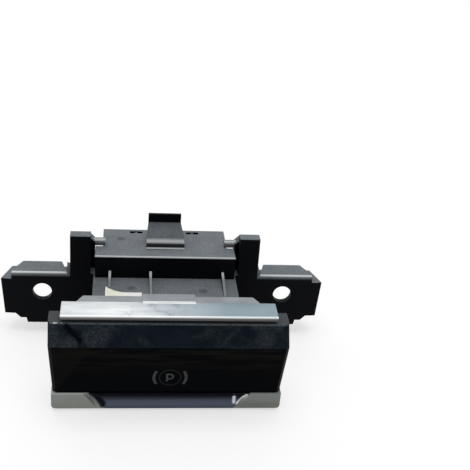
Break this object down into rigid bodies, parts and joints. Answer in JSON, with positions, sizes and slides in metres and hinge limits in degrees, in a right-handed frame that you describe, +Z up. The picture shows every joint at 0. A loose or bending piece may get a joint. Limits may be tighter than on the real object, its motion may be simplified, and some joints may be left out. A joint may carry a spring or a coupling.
{
  "type": "electric parking brake switch",
  "caption": "Pull and push switch for an electric parking brake: a wide sprung paddle with plated trim on a black housing with screw ears, posts and a rear connector.",
  "frame": {"origin": "midway between the two ear screw holes, on the ears' front face", "axes": "+X along the ears to the driver's right, -Y towards the driver and the paddle, +Z up"},
  "size_m": [0.1188, 0.0824, 0.0421],
  "materials": {
    "black_housing": "fine moulded texture",
    "grey_flange": "matte grey",
    "bright_plating": "bright plated",
    "satin_plating": "satin plated",
    "paddle_gloss": "smooth black",
    "carrier_plastic": "plain moulded",
    "zinc_steel": "zinc plated",
    "spring_steel": "drawn wire",
    "stop_rubber": "soft black",
    "board_laminate": "green lacquer",
    "chip_body": "moulded resin",
    "capacitor_ceramic": "fired ceramic",
    "lamp_white": "clear white",
    "diffuser_white": "milky",
    "clear_plastic": "clear polished",
    "connector_plastic": "plain moulded",
    "tinned_brass": "tinned",
    "magnet_grey": "sintered"
  },
  "bodies": {
    "housing": {"front_housing": "black_housing", "rear_housing": "black_housing", "rear_cover": "black_housing", "base_cover": "black_housing", "base_screws": "zinc_steel", "trim_flange": "grey_flange", "top_trim_strip": "bright_plating", "hinge_rod": "zinc_steel", "rod_clips": "spring_steel", "light_pipe": "clear_plastic", "lower_spring_left": "spring_steel", "lower_spring_right": "spring_steel", "upper_spring_left": "spring_steel", "upper_spring_right": "spring_steel", "pull_stop_pads": "stop_rubber", "push_stop_pads": "stop_rubber", "circuit_board": "board_laminate", "board_screws": "zinc_steel", "hall_sensors": "chip_body", "symbol_lamp": "lamp_white", "control_chip": "chip_body", "board_capacitors": "capacitor_ceramic", "connector_header": "connector_plastic", "connector_pins": "tinned_brass"},
    "paddle": {"paddle_shell": "paddle_gloss", "grip_trim": "satin_plating", "paddle_carrier": "carrier_plastic", "paddle_screws": "zinc_steel", "symbol_diffuser": "diffuser_white", "sensor_magnet": "magnet_grey"}
  },
  "joints": [
    {"name": "paddle_hinge", "type": "hinge", "parent": "housing", "child": "paddle", "pos_m": [0, -0.043, 0.008], "axis": [1, 0, 0], "range_deg": [-7.5, 5.5], "stiffness_Nm_per_rad": 0.8, "deforming": ["lower_spring_left", "lower_spring_right", "upper_spring_left", "upper_spring_right"]}
  ]
}
